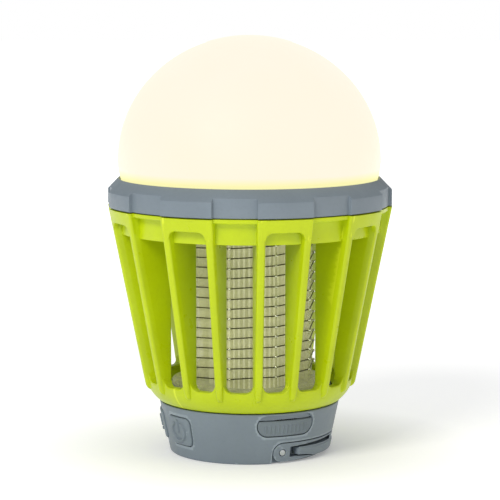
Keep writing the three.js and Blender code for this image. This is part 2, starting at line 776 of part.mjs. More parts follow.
place('seal_ring', sealRing(), COLOUR.black, 0.8);
place('cage', cage(), COLOUR.green, 0.45);
place('trim_ring', trimRing(), COLOUR.grey, 0.45);
place('reflector_plate', reflector(), COLOUR.white, 0.4);
place('dome', dome(), COLOUR.diffuser, 0.35);

export default group;
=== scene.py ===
import math
import random

import bmesh
import bpy
from mathutils import Matrix, Vector, noise


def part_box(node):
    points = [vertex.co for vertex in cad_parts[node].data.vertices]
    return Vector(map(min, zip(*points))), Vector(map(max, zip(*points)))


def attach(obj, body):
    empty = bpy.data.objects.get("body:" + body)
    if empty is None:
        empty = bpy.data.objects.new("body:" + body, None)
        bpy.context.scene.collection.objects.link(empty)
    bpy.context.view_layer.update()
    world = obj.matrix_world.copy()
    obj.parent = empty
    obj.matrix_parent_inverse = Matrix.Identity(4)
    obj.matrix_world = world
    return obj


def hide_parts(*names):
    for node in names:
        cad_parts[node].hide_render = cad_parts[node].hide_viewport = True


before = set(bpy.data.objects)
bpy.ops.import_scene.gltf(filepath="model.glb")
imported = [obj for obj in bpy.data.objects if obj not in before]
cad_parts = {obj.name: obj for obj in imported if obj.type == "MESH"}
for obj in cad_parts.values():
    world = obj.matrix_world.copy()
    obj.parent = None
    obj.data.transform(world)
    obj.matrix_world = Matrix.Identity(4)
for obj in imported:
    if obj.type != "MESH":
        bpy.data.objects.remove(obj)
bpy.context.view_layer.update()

# The script works in millimetres and turns them into metres when a mesh is made. Angles are in
# degrees about +Z, counted from the front (-Y) towards +X.
MM = 0.001

# ---------------------------------------------------------------------------------------------
# Sizes
# ---------------------------------------------------------------------------------------------


def node_box(name):
    low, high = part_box(name)
    return low / MM, high / MM


CAGE_LOW, CAGE_HIGH = node_box("cage")
RING_LOW = node_box("trim_ring")[0]
DOME_LOW, DOME_HIGH = node_box("dome")
BASE_HIGH = node_box("base_shell")[1]
CARRIER_LOW, CARRIER_HIGH = node_box("grid_carrier")
TUBE_LOW, TUBE_HIGH = node_box("uv_cover_tube")

# Base cone, neck and the ledge inside the foot.
BASE_FOOT = 24.6
BASE_FLARE = 0.21
BASE_TOP = 16.0
BASE_SHOULDER = 15.1
BASE_WALL = 2.0
NECK_RADIUS = 25.4
LEDGE_INNER = 21.2
LEDGE_TOP = 2.8
LUG_INNER = 24.6
LUG_OUTER = 26.3
LUG_LOW = 17.9
LUG_HIGH = 19
LUG_HALF = 4
HOUSING_OUTER = 24
HOUSING_LOW = 0.05

# Cage.
ARCH_COUNT = 9
ARCH_FIRST = 14.4
ARCH_HALF = 11.2
ARCH_CROWN = 72.5
ARCH_CORNER = 2.3
ARCH_THICK = 1.5
FIN_OFFSET = 9.6
FIN_INNER = 29.4
FIN_FOOT_Z = 20.2
FIN_SLOPE = 0.2035
FIN_FOOT = 32.67
FIN_OUTER_HALF = 1.2
FIN_INNER_HALF = 1.5
FIN_NARROW = 0.55
FIN_RIDGE = 2.2
FIN_TOP = CAGE_HIGH.z - 0.1
RIM_Z = 23.1
RIM_CORNER = 2.3
BAND_INNER = 39.3
BAND_OUTER = 40.5
BAND_LOW = 68.7
LIP_OUTER = 42.9
LIP_LOW = 75.3

# Trim ring.
RING_RECESS = 42.9
RING_STEP = 1.1
BEVEL_INNER = 40.1
BEVEL_TOP = 85.5
BEVEL_FALL = 1.026
RING_SEAT = 81.4
RING_SKIRT = 79.1

# Dome.
DOME_RADIUS = 40.6
DOME_WAIST = 90.5
DOME_HEIGHT = DOME_HIGH.z - DOME_WAIST
DOME_DEPTH = 25.0
DOME_NECK = 84.8
DOME_WALL = 1.6

# Buttons, port and bail on the base.
BUTTON_WIDTH = 10.4
BUTTON_HEIGHT = 8.8
BUTTON_CORNER = 1.8
BUTTON_PROUD = 0.6
BUTTONS = {"power_button": (-53.0, 8.75), "mode_button": (-87.5, 8.8)}
PORT_ANGLE = 25.0
PORT_Z = 12.1
PORT_LENGTH = 19.2
PORT_HEIGHT = 7.0
PORT_DEPTH = 1.3
NOTCH_DEPTH = 0.75
COVER_TOP = 13.7
PAD_HEIGHT = 7.2
PORT_MOUTH = (-4.3, 4.3, 10.3, 14.1)     # sides, bottom and top
PIVOT_ANGLE = 23.5
PIVOT_Z = 3.45
RECESS_FLOOR = 22.5
RECESS_RADIUS = 3.3
BAIL_INNER = 22.9
BAIL_LOW = 1.0
BAIL_HIGH = 6.4
BAIL_EYE = 2.95
PIN_RADIUS = 0.95
PIN_ROOT = 21.3
PIN_HOLE = PIN_RADIUS + 0.2
STRAP_START = 11.8
GRIP_START = 11.4
WINDOW_LOW = 1.9
WINDOW_HIGH = 5.25

# Grid.
GRID_SIDES = 9
GRID_FIRST = 23.0
CARRIER_CORNER = 19.6
FLANGE_RADIUS = 24
RIB_CENTRE = 19.2
RIB_RADIUS = 0.9
WIRE_CORNER = 20.6
WIRE_RADIUS = 0.19
WIRE_FIRST = -57.0
WIRE_PITCH = 6.17
WIRE_SPANS = 60
WIRE_START = 24.6
BEAD_RADIUS = 0.45
FLUTE_COUNT = 48
FLUTE_DEPTH = 0.35
TUBE_RADIUS = 12.5
TUBE_BORE = 11.5

# Camera, in metres and degrees below the horizontal.
CAMERA_AT = (0.0002, -0.699, 0.1489)
CAMERA_DOWN = 7.05
CAMERA_LENS = 163.76

# ---------------------------------------------------------------------------------------------
# Mesh helpers
# ---------------------------------------------------------------------------------------------


def steps(low, high, count):
    return [low + (high - low) * i / count for i in range(count + 1)]


def polar(radius, angle, z):
    a = math.radians(angle)
    return Vector((radius * math.sin(a), -radius * math.cos(a), z))


def ring_section(inner, outer, angle, low, high):
    """Corners of a rectangle between two radii and two heights."""
    return [polar(r, angle, z)
            for r, z in ((inner, low), (outer, low), (outer, high), (inner, high))]


def sideways(angle):
    a = math.radians(angle)
    return Vector((math.cos(a), math.sin(a), 0))


def turns(count, first):
    return [first + 360 * i / count for i in range(count)]


def base_radius(z):
    return BASE_FOOT + BASE_FLARE * z


def fin_radius(z):
    return FIN_FOOT + FIN_SLOPE * (z - FIN_FOOT_Z)


def bevel_z(radius):
    return BEVEL_TOP - (radius - BEVEL_INNER) * BEVEL_FALL


def fillet(points, radius, count=4):
    """Rounds the corners of a closed outline of (x, y) points."""
    radii = radius if isinstance(radius, (list, tuple)) else [radius] * len(points)
    out = []
    for i, (corner, r) in enumerate(zip(points, radii)):
        here = Vector(corner)
        before = Vector(points[i - 1]) - here
        after = Vector(points[(i + 1) % len(points)]) - here
        a, b = before.normalized(), after.normalized()
        angle = a.angle(b)
        if r <= 0 or angle > math.radians(178):
            out.append(tuple(here))
            continue
        reach = min(r / math.tan(angle / 2), before.length * 0.49, after.length * 0.49)
        r = reach * math.tan(angle / 2)
        centre = here + (a + b).normalized() * (r / math.sin(angle / 2))
        start, end = here + a * reach - centre, here + b * reach - centre
        for t in steps(0, 1, count):
            out.append(tuple(centre + start.slerp(end, t) * r))
    return out


def new_object(name, points, faces):
    mesh = bpy.data.meshes.new(name)
    mesh.from_pydata([tuple(p * MM) for p in points], [], faces)
    mesh.validate()
    obj = bpy.data.objects.new(name, mesh)
    bpy.context.scene.collection.objects.link(obj)
    return obj


def face_out(obj):
    """Points every face outwards and returns the object."""
    bm = bmesh.new()
    bm.from_mesh(obj.data)
    bmesh.ops.remove_doubles(bm, verts=bm.verts, dist=1e-7)
    bmesh.ops.recalc_face_normals(bm, faces=bm.faces)
    bm.to_mesh(obj.data)
    bm.free()
    return obj


def loft(name, sections, ring=False):
    """Skins equal closed sections. ring joins the last section to the first."""
    count = len(sections[0])
    points = [p for section in sections for p in section]
    faces = []
    last = len(sections) if ring else len(sections) - 1
    for i in range(last):
        j = (i + 1) % len(sections)
        for k in range(count):
            m = (k + 1) % count
            faces.append((i * count + k, i * count + m, j * count + m, j * count + k))
    if not ring:
        faces.append(tuple(range(count)))
        faces.append(tuple(reversed(range((len(sections) - 1) * count, len(points)))))
    return face_out(new_object(name, points, faces))


def lathe(name, profile, count=180):
    """Turns a closed profile of (radius, z) points about the Z axis."""
    sections = [[polar(r, angle, z) for r, z in profile] for angle in turns(count, 0)]
    return loft(name, sections, ring=True)


def cap_lathe(name, profile, count=180):
    """Turns an open profile whose two ends lie on the Z axis."""
    body = profile[1:-1]
    points = [polar(r, angle, z) for angle in turns(count, 0) for r, z in body]
    low, high = len(points), len(points) + 1
    points += [Vector((0, 0, profile[0][1])), Vector((0, 0, profile[-1][1]))]
    faces = []
    n = len(body)
    for i in range(count):
        j = (i + 1) % count
        faces.append((low, j * n, i * n))
        faces.append((high, i * n + n - 1, j * n + n - 1))
        for k in range(n - 1):
            faces.append((i * n + k, j * n + k, j * n + k + 1, i * n + k + 1))
    return face_out(new_object(name, points, faces))


def join(name, objects):
    """One object from several that don't meet."""
    points, faces = [], []
    for obj in objects:
        start = len(points)
        points += [v.co / MM for v in obj.data.vertices]
        faces += [tuple(start + i for i in p.vertices) for p in obj.data.polygons]
        bpy.data.objects.remove(obj)
    return new_object(name, points, faces)


def combine(obj, other, operation):
    """Cuts obj by other, or adds or keeps what they share, and removes other."""
    modifier = obj.modifiers.new("combine", "BOOLEAN")
    modifier.operation = operation
    modifier.solver = "MANIFOLD"
    modifier.object = other
    apply_modifiers(obj)
    bpy.data.objects.remove(other)
    return obj


def apply_modifiers(obj):
    graph = bpy.context.evaluated_depsgraph_get()
    mesh = bpy.data.meshes.new_from_object(obj.evaluated_get(graph))
    obj.modifiers.clear()
    obj.data = mesh
    return obj


def soften(obj, width, angle=40, segments=2):
    """Rounds the sharp edges."""
    modifier = obj.modifiers.new("soften", "BEVEL")
    modifier.width = width * MM
    modifier.segments = segments
    modifier.limit_method = "ANGLE"
    modifier.angle_limit = math.radians(angle)
    modifier.use_clamp_overlap = True
    return apply_modifiers(obj)


def refine(obj, longest):
    """Splits long edges, so that the painted edge highlights stay narrow and shading even."""
    bm = bmesh.new()
    bm.from_mesh(obj.data)
    bmesh.ops.triangulate(bm, faces=bm.faces)
    for _ in range(5):
        long_edges = [e for e in bm.edges if e.calc_length() > longest * MM]
        bmesh.ops.subdivide_edges(bm, edges=long_edges, cuts=1)
        bmesh.ops.triangulate(bm, faces=[f for f in bm.faces if len(f.verts) > 3])
    bm.to_mesh(obj.data)
    bm.free()
    return obj


def prism(name, outline, angle, near, far):
    """Extrudes an outline, seen from outside at the angle, between two distances from the axis."""
    across = sideways(angle)
    sections = [
        [polar(distance, angle, z) + across * x for x, z in outline] for distance in (near, far)
    ]
    return loft(name, sections)


def circle(radius, x, z, count=32):
    return [
        (x + radius * math.cos(math.radians(a)), z + radius * math.sin(math.radians(a)))
        for a in turns(count, 0)
    ]


def rectangle(left, right, low, high):
    return [(left, low), (right, low), (right, high), (left, high)]


def inside_rounded(x, z, width, height, corner):
    """Distance from (x, z) to the edge of a rounded rectangle about the origin, inside positive."""
    dx = abs(x) - (width / 2 - corner)
    dz = abs(z) - (height / 2 - corner)
    outside = math.hypot(max(dx, 0), max(dz, 0))
    return corner - outside - min(max(dx, dz), 0)


def eased(distance, radius):
    """How far a rounded edge has dropped at a distance from the outline."""
    if distance >= radius:
        return 0.0
    t = 1 - max(distance, 0) / radius
    return radius * (1 - math.sqrt(max(0.0, 1 - t * t)))


def wall_patch(name, angle, z, size, corner, outer, inner, edge=0.25, grid=(60, 48),
               relief=None, top=None):
    """A rounded rectangle that follows the base's cone, between two depths below its surface.
    relief(x, z) raises the face; top cuts the outline off level at that height."""
    width, height = size
    columns = [width / 2 * math.sin(math.pi / 2 * t) for t in steps(-1, 1, grid[0])]
    rows = [(1 - math.cos(math.pi * t)) / 2 for t in steps(0, 1, grid[1])]
    front, back = [], []
    for x in columns:
        over = max(abs(x) - (width / 2 - corner), 0)
        half = height / 2 - corner + math.sqrt(max(corner * corner - over * over, 0))
        low, high = -half, half if top is None else min(half, top - z)
        for t in rows:
            v = low + (high - low) * t
            gap = inside_rounded(x, v, width, height, corner)
            if top is not None:
                gap = min(gap, top - z - v)
            drop = outer + eased(gap, edge)
            if relief:
                drop -= relief(x, v)
            turn = angle + math.degrees(x / base_radius(z))
            front.append(polar(base_radius(z + v) - drop, turn, z + v))
            depth = inner(v) if callable(inner) else inner
            back.append(polar(base_radius(z + v) - depth, turn, z + v))
    n = len(rows)
    count = len(front)
    faces = []
    for i in range(len(columns) - 1):
        for k in range(n - 1):
            a = i * n + k
            faces.append((a, a + n, a + n + 1, a + 1))
            faces.append((count + a, count + a + 1, count + a + n + 1, count + a + n))
    edge_loop = list(range(n)) + [i * n + n - 1 for i in range(1, len(columns))]
    edge_loop += [count - 1 - k for k in range(1, n)]
    edge_loop += [i * n for i in range(len(columns) - 2, 0, -1)]
    for a, b in zip(edge_loop, edge_loop[1:] + edge_loop[:1]):
        faces.append((a, b, count + b, count + a))
    return face_out(new_object(name, front + back, faces))


# ---------------------------------------------------------------------------------------------
# Materials
# ---------------------------------------------------------------------------------------------


def linear(red, green, blue):
    """A colour given in 0-255 display values, as the shader's linear values."""
    values = []
    for c in (red / 255, green / 255, blue / 255):
        values.append(c / 12.92 if c <= 0.04045 else ((c + 0.055) / 1.055) ** 2.4)
    return (*values, 1.0)


class Nodes:
    """Short calls for building one material's node tree."""

    def __init__(self, name):
        self.material = bpy.data.materials.new(name)
        self.material.use_nodes = True
        self.tree = self.material.node_tree
        self.shader = self.tree.nodes["Principled BSDF"]
        self.place = self.add("ShaderNodeTexCoord").outputs["Object"]

    def add(self, kind, **settings):
        node = self.tree.nodes.new(kind)
        for key, value in settings.items():
            setattr(node, key, value)
        return node

    def link(self, source, target):
        self.tree.links.new(source, target)

    def noise(self, scale, detail=3.0, stretch=None):
        node = self.add("ShaderNodeTexNoise")
        node.inputs["Scale"].default_value = scale
        node.inputs["Detail"].default_value = detail
        source = self.place
        if stretch:
            mapping = self.add("ShaderNodeMapping")
            mapping.inputs["Scale"].default_value = stretch
            self.link(self.place, mapping.inputs["Vector"])
            source = mapping.outputs["Vector"]
        self.link(source, node.inputs["Vector"])
        return node.outputs["Fac"]

    def span(self, value, low, high, from_low=0.3, from_high=0.7):
        node = self.add("ShaderNodeMapRange")
        self.link(value, node.inputs["Value"])
        node.inputs["From Min"].default_value = from_low
        node.inputs["From Max"].default_value = from_high
        node.inputs["To Min"].default_value = low
        node.inputs["To Max"].default_value = high
        return node.outputs["Result"]

    def mix(self, factor, first, second):
        node = self.add("ShaderNodeMix", data_type="RGBA")
        self.link(factor, node.inputs["Factor"])
        for value, socket in ((first, node.inputs["A"]), (second, node.inputs["B"])):
            if isinstance(value, tuple):
                socket.default_value = value
            else:
                self.link(value, socket)
        return node.outputs["Result"]

    def bump(self, height, strength, distance):
        node = self.add("ShaderNodeBump")
        node.inputs["Strength"].default_value = strength
        node.inputs["Distance"].default_value = distance
        self.link(height, node.inputs["Height"])
        return node

    def edges(self, low=0.55, high=0.66):
        """1 along outward edges, 0 elsewhere: the mask of the painted edge highlights."""
        node = self.add("ShaderNodeNewGeometry")
        return self.span(node.outputs["Pointiness"], 0.0, 1.0, low, high)

    def height(self, low, high):
        """0 at one height of the object and 1 at another, in metres."""
        split = self.add("ShaderNodeSeparateXYZ")
        self.link(self.place, split.inputs["Vector"])
        return self.span(split.outputs["Z"], 0.0, 1.0, low, high)


    def around(self, count):
        """A wave that peaks count times round the Z axis, between -1 and 1."""
        split = self.add("ShaderNodeSeparateXYZ")
        self.link(self.place, split.inputs["Vector"])
        angle = self.add("ShaderNodeMath", operation="ARCTAN2")
        self.link(split.outputs["X"], angle.inputs[0])
        self.link(split.outputs["Y"], angle.inputs[1])
        turned = self.add("ShaderNodeMath", operation="MULTIPLY")
        self.link(angle.outputs["Value"], turned.inputs[0])
        turned.inputs[1].default_value = count
        wave = self.add("ShaderNodeMath", operation="COSINE")
        self.link(turned.outputs["Value"], wave.inputs[0])
        return wave.outputs["Value"]


def shade(color, factor):
    return (*(min(c * factor, 1.0) for c in color[:3]), 1.0)


def moulded(name, color, edge_highlight, rough=0.42, grain=0.35, tone=0.06, sheen=0.5):
    """Moulded plastic: a fine spark-eroded grain, slow flow marks in tone, and a painted highlight
    in a paler colour along its edges.
    """
    n = Nodes(name)
    slow = n.noise(55, 4)
    body = n.mix(n.span(slow, 0, 1), shade(color, 1 - tone), shade(color, 1 + tone))
    specks = n.noise(900, 2)
    body = n.mix(n.span(specks, 0, 0.35, 0.45, 0.75), body, shade(color, 0.9))
    # Painted highlight: outward edges take the paler second colour.
    body = n.mix(n.edges(), body, edge_highlight)
    n.link(body, n.shader.inputs["Base Color"])
    n.link(n.span(n.noise(240, 3), rough - 0.06, rough + 0.08), n.shader.inputs["Roughness"])
    fine = n.bump(n.noise(2600, 2), grain, 0.00006)
    broad = n.bump(n.noise(140, 3), 0.12, 0.0002)
    n.link(broad.outputs["Normal"], fine.inputs["Normal"])
    n.link(fine.outputs["Normal"], n.shader.inputs["Normal"])
    n.shader.inputs["Specular IOR Level"].default_value = sheen
    return n.material


def rubber(name, color, rough=0.7):
    n = Nodes(name)
    body = n.mix(n.span(n.noise(80, 4), 0, 1), shade(color, 0.92), shade(color, 1.06))
    # Painted highlight: outward edges are lighter.
    body = n.mix(n.edges(), body, shade(color, 1.15))
    n.link(body, n.shader.inputs["Base Color"])
    n.link(n.span(n.noise(400, 3), rough - 0.08, rough + 0.1), n.shader.inputs["Roughness"])
    fine = n.bump(n.noise(1800, 3), 0.4, 0.00008)
    n.link(fine.outputs["Normal"], n.shader.inputs["Normal"])
    n.shader.inputs["Specular IOR Level"].default_value = 0.3
    return n.material


def metal(name, color, rough=0.3, drawn=(1, 1, 1)):
    n = Nodes(name)
    body = n.mix(n.span(n.noise(700, 4, drawn), 0, 1), shade(color, 0.8), shade(color, 1.1))
    n.link(body, n.shader.inputs["Base Color"])
    n.link(n.span(n.noise(1500, 3, drawn), rough - 0.1, rough + 0.12), n.shader.inputs["Roughness"])
    fine = n.bump(n.noise(3000, 2, drawn), 0.25, 0.00004)
    n.link(fine.outputs["Normal"], n.shader.inputs["Normal"])
    n.shader.inputs["Metallic"].default_value = 1.0
    return n.material


def glowing_dome():
    """Milky diffuser, lit from inside: warm white with a yellower foot where it meets the ring."""
    n = Nodes("lit_diffuser")
    foot = n.height(85.9 * MM, 88.2 * MM)
    rise = n.height(87.5 * MM, 118.0 * MM)
    cloud = n.span(n.noise(30, 3), 0, 1)
    body = n.mix(rise, linear(255, 246, 222), linear(255, 248, 232))
    body = n.mix(cloud, body, linear(255, 247, 228))
    body = n.mix(foot, linear(253, 248, 180), body)
    n.link(body, n.shader.inputs["Emission Color"])
    n.shader.inputs["Emission Strength"].default_value = 0.95
    n.shader.inputs["Base Color"].default_value = (0.05, 0.045, 0.035, 1)
    n.link(n.span(n.noise(500, 3), 0.42, 0.55), n.shader.inputs["Roughness"])
    fine = n.bump(n.noise(1600, 2), 0.2, 0.00005)
    n.link(fine.outputs["Normal"], n.shader.inputs["Normal"])
    n.shader.inputs["Specular IOR Level"].default_value = 0.12
    return n.material


def clear_plastic(name, color, clarity, lit):
    """Tinted clear plastic: part of what is behind it shows through, and its own colour glows with
    the strength lit, a painted glow that brightens it inside the shaded cage.
    """
    n = Nodes(name)
    body = n.mix(n.span(n.noise(60, 4), 0, 1), shade(color, 0.9), shade(color, 1.06))
    lines = n.noise(1500, 2, (1, 1, 0.01))
    body = n.mix(n.span(lines, 0, 0.3), body, shade(color, 1.18))
    body = n.mix(n.span(n.noise(1100, 2), 0, 0.35), body, shade(color, 0.7))
    n.link(body, n.shader.inputs["Base Color"])
    n.link(n.span(n.noise(300, 3), 0.2, 0.34), n.shader.inputs["Roughness"])
    fine = n.bump(lines, 0.3, 0.0001)
    n.link(fine.outputs["Normal"], n.shader.inputs["Normal"])
    n.shader.inputs["Alpha"].default_value = 1 - clarity
    # Painted glow: the body colour is also given off as light.
    n.link(body, n.shader.inputs["Emission Color"])
    n.shader.inputs["Emission Strength"].default_value = lit
    return n.material


def fluted_plastic(name, ridge, groove, lit):
    """Cover with a painted highlight, a bright line, along each of its flutes, and a painted glow
    in the same colours.
    """
    n = Nodes(name)
    # Painted highlight: a bright stripe of the ridge colour along each flute.
    line = n.span(n.around(FLUTE_COUNT), 0, 1, 0.1, 0.9)
    body = n.mix(line, groove, ridge)
    body = n.mix(n.span(n.noise(90, 4), 0, 0.3), body, groove)
    n.link(body, n.shader.inputs["Base Color"])
    n.link(body, n.shader.inputs["Emission Color"])
    n.shader.inputs["Emission Strength"].default_value = lit
    n.link(n.span(n.noise(300, 3), 0.18, 0.3), n.shader.inputs["Roughness"])
    n.link(n.bump(n.noise(900, 2), 0.2, 0.0001).outputs["Normal"], n.shader.inputs["Normal"])
    return n.material


def circuit_board():
    n = Nodes("solder_mask")
    traces = n.add("ShaderNodeTexVoronoi", distance="MANHATTAN")
    traces.inputs["Scale"].default_value = 420
    n.link(n.place, traces.inputs["Vector"])
    line = n.span(traces.outputs["Distance"], 0, 1, 0.42, 0.5)
    body = n.mix(line, (0.012, 0.12, 0.045, 1), (0.02, 0.2, 0.08, 1))
    n.link(body, n.shader.inputs["Base Color"])
    n.link(n.span(n.noise(300), 0.3, 0.42), n.shader.inputs["Roughness"])
    n.link(n.bump(line, 0.3, 0.00005).outputs["Normal"], n.shader.inputs["Normal"])
    return n.material


def glowing_led(name, color, strength):
    n = Nodes(name)
    body = n.mix(n.span(n.noise(600), 0, 1), shade(color, 0.85), color)
    n.link(body, n.shader.inputs["Base Color"])
    n.link(body, n.shader.inputs["Emission Color"])
    n.shader.inputs["Emission Strength"].default_value = strength
    n.shader.inputs["Roughness"].default_value = 0.3
    return n.material


# In each moulded material the second colour is a painted highlight along the edges.
GREY = moulded("grey_satin", linear(118, 130, 140), linear(140, 153, 163), 0.45, sheen=0.35)
GREEN = moulded("lime_gloss", linear(184, 203, 6), linear(210, 224, 40), 0.33, 0.2, sheen=0.35)
DOME = glowing_dome()
COVER = rubber("grey_rubber", linear(112, 123, 131))
SEAL = rubber("black_rubber", linear(32, 32, 34))
# The khaki plastic's glow is painted light; the fluted cover's bright flute stripes are painted
# highlights and glow too.
CARRIER = clear_plastic("khaki_clear", linear(196, 196, 150), 0.5, 0.2)
FLUTES = fluted_plastic("fluted_clear", linear(255, 255, 228), linear(150, 150, 108), 0.75)
WIRE = metal("grid_wire", linear(92, 90, 70), rough=0.35)
BEAD = metal("wire_bead", linear(250, 250, 235), rough=0.15)
STEEL = metal("plated_steel", linear(200, 202, 205), rough=0.28)
PIN = metal("pin_steel", linear(186, 192, 196), rough=0.32)
BOARD = circuit_board()
CELL = moulded("cell_wrap", linear(46, 98, 170), linear(60, 114, 184), 0.3, 0.1)
WINDING = moulded("taped_winding", linear(176, 132, 58), linear(190, 148, 72), 0.5)
BLACK = moulded("black_plastic", linear(38, 39, 41), linear(58, 59, 61))
WHITE = moulded("white_plastic", linear(233, 232, 224), linear(240, 240, 234))
LED = glowing_led("phosphor_led", linear(255, 240, 190), 2.0)
UV_LED = glowing_led("violet_led", linear(190, 180, 255), 1.2)

# ---------------------------------------------------------------------------------------------
# Putting a piece in place
# ---------------------------------------------------------------------------------------------


def finish_piece(obj, material, body, slot, *nodes, angle=35):
    obj.data.materials.clear()
    obj.data.materials.append(material)
    obj.data.shade_smooth()
    obj.data.set_sharp_from_angle(angle=math.radians(angle))
    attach(obj, body)
    if nodes:
        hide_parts(*nodes)
    return obj


# ---------------------------------------------------------------------------------------------
# Shade: cage, trim ring, dome
# ---------------------------------------------------------------------------------------------

FIN_ANGLES = [a + side * FIN_OFFSET for a in turns(ARCH_COUNT, ARCH_FIRST) for side in (-1, 1)]


def cup_radius(z):
    """Outside of the rounded cup under the windows."""
    t = min(max((z - CAGE_LOW.z) / (RIM_Z - CAGE_LOW.z), 0), 1)
    return 27.9 + 4.2 * math.sin(math.pi / 2 * t) ** 0.82


def fin_section(angle, z, outer):
    half = FIN_OUTER_HALF - FIN_NARROW * (1 - smooth_step(z - FIN_FOOT_Z, 5))
    outline = [
        (FIN_INNER, FIN_INNER_HALF),
        (outer - FIN_RIDGE, FIN_OUTER_HALF + 0.15),
        (outer, half - 0.1),
        (outer, 0.1 - half),
        (outer - FIN_RIDGE, -FIN_OUTER_HALF - 0.15),
        (FIN_INNER, -FIN_INNER_HALF),
    ]
    rounded = fillet(outline, [0.4, 1, 0.8, 0.8, 1, 0.4], 5)
    across = sideways(angle)
    return [polar(r, angle, z) + across * t for r, t in rounded]


def fin(angle):
    """One radial plate with a rounded outer ridge and a foot that dies into the cup."""
    sections = []
    foot = 2.0
    for t in steps(0, 1, 7):
        z = FIN_FOOT_Z + foot * (1 - math.cos(math.pi / 2 * t))
        reach = math.sin(math.pi / 2 * t)
        surface = cup_radius(z) - 0.15
        sections.append(fin_section(angle, z, surface + (fin_radius(z) - surface) * reach))
    for z in steps(FIN_FOOT_Z + foot + 0.6, FIN_TOP, 24):
        sections.append(fin_section(angle, z, fin_radius(z)))
    return loft("fin", sections)


def arch(angle):
    """Raised face over a pair of fins, with a round-cornered window head."""
    window = fin_radius(ARCH_CROWN) * math.sin(math.radians(FIN_OFFSET)) - FIN_OUTER_HALF
    turn = ARCH_HALF + 0.15
    offsets = [turn * math.sin(math.pi / 2 * t) for t in steps(-1, 1, 56)]
    sections = []
    for offset in offsets:
        x = abs(math.radians(offset)) * fin_radius(ARCH_CROWN)
        past = min(max(x - (window - ARCH_CORNER), 0), ARCH_CORNER)
        low = ARCH_CROWN - (ARCH_CORNER - math.sqrt(max(ARCH_CORNER**2 - past**2, 0)))
        drop = eased((turn - abs(offset)) * math.pi / 180 * 43, 0.7)
        outline = [
            (fin_radius(low) - ARCH_THICK, low),
            (fin_radius(low) - drop, low),
            (fin_radius(FIN_TOP) - drop, FIN_TOP),
            (fin_radius(FIN_TOP) - ARCH_THICK, FIN_TOP),
        ]
        rounded = fillet(outline, [0.15, 0.4, 0.1, 0.1], 3)
        sections.append([polar(r, angle + offset, z) for r, z in rounded])
    return loft("arch", sections)


def rim_height(angle):
    """Top of the cup between the fins: level, with a quarter round up each fin."""
    away = min(abs((angle - a + 180) % 360 - 180) for a in FIN_ANGLES)
    x = math.radians(away) * cup_radius(RIM_Z) - FIN_INNER_HALF
    reach = min(max(RIM_CORNER - x, 0), RIM_CORNER)
    return RIM_Z + RIM_CORNER - math.sqrt(RIM_CORNER**2 - reach**2)


def cup():
    sections = []
    low = CAGE_LOW.z
    for angle in turns(900, 0):
        rim = rim_height(angle)
        outside = [(cup_radius(z), z) for z in steps(low + 0.35, RIM_Z - 0.5, 12)]
        outline = [(26.8, low), (27.7, low), *outside]
        over = cup_radius(RIM_Z) + (rim - RIM_Z) * FIN_SLOPE
        outline += [(over - 0.03, rim - 0.4), (over - 0.15, rim - 0.1), (over - 0.45, rim)]
        outline += [(FIN_INNER + 0.3, rim), (FIN_INNER, rim - 0.3), (FIN_INNER, 21.7)]
        outline += [(FIN_INNER - 0.4, 21.4), (25.8, 20.5), (25.8, 17.6), (26.8, 17.6)]
        sections.append([polar(r, angle, z) for r, z in outline])
    return loft("cup", sections, ring=True)


def cage():
    band = [
        (BAND_INNER, BAND_LOW),
        (BAND_OUTER, BAND_LOW),
        (BAND_OUTER, LIP_LOW),
        (LIP_OUTER, LIP_LOW),
        (LIP_OUTER, CAGE_HIGH.z),
        (BAND_INNER, CAGE_HIGH.z),
    ]
    band_ring = lathe("band", fillet(band, [0.2, 0.3, 0.5, 0.3, 0.1, 0.1]), 360)
    obj = join("cage_shell", [cup(), band_ring])
    combine(obj, join("fins", [fin(a) for a in FIN_ANGLES]), "UNION")
    combine(obj, join("arches", [arch(a) for a in turns(ARCH_COUNT, ARCH_FIRST)]), "UNION")
    for angle in turns(3, 60):
        sections = [ring_section(LUG_INNER, LUG_OUTER, angle + t, LUG_LOW, LUG_HIGH)
                    for t in steps(-LUG_HALF, LUG_HALF, 6)]
        combine(obj, loft("lug", sections), "UNION")
    refine(obj, 2.0)
    return finish_piece(obj, GREEN, "shade", "green_plastic", "cage", angle=32)


def raised(angle):
    """1 on the nine raised segments of the ring, 0 between them, with short rounded steps."""
    away = min(abs((angle - a + 180) % 360 - 180) for a in turns(ARCH_COUNT, ARCH_FIRST))
    t = min(max((ARCH_HALF + 0.12 - away) / 0.24, 0), 1)
    return t * t * (3 - 2 * t)


def ring_angles():
    """Even steps, with closer ones at the ends of each raised segment."""
    angles = set(turns(180, 0))
    for middle in turns(ARCH_COUNT, ARCH_FIRST):
        for end in (middle - ARCH_HALF, middle + ARCH_HALF):
            angles |= {(end + d) % 360 for d in (-0.3, -0.14, -0.08, -0.03, 0.03, 0.08, 0.14, 0.3)}
    return sorted(angles)


def trim_ring():
    sections = []
    low = RING_LOW.z
    for angle in ring_angles():
        outer = RING_RECESS + RING_STEP * raised(angle)
        outline = [
            (41.0, low),
            (outer, low),
            (outer, bevel_z(outer)),
            (BEVEL_INNER, BEVEL_TOP),
            (BEVEL_INNER, RING_SEAT),
            (37.0, RING_SEAT),
            (37.0, RING_SKIRT),
            (41.0, RING_SKIRT),
        ]
        rounded = fillet(outline, [0.1, 0.25, 0.3, 0.25, 0.1, 0.1, 0.1, 0.1], 4)
        sections.append([polar(r, angle, z) for r, z in rounded])
    obj = loft("trim_ring_shell", sections, ring=True)
    return finish_piece(obj, GREY, "shade", "grey_plastic", "trim_ring", angle=30)


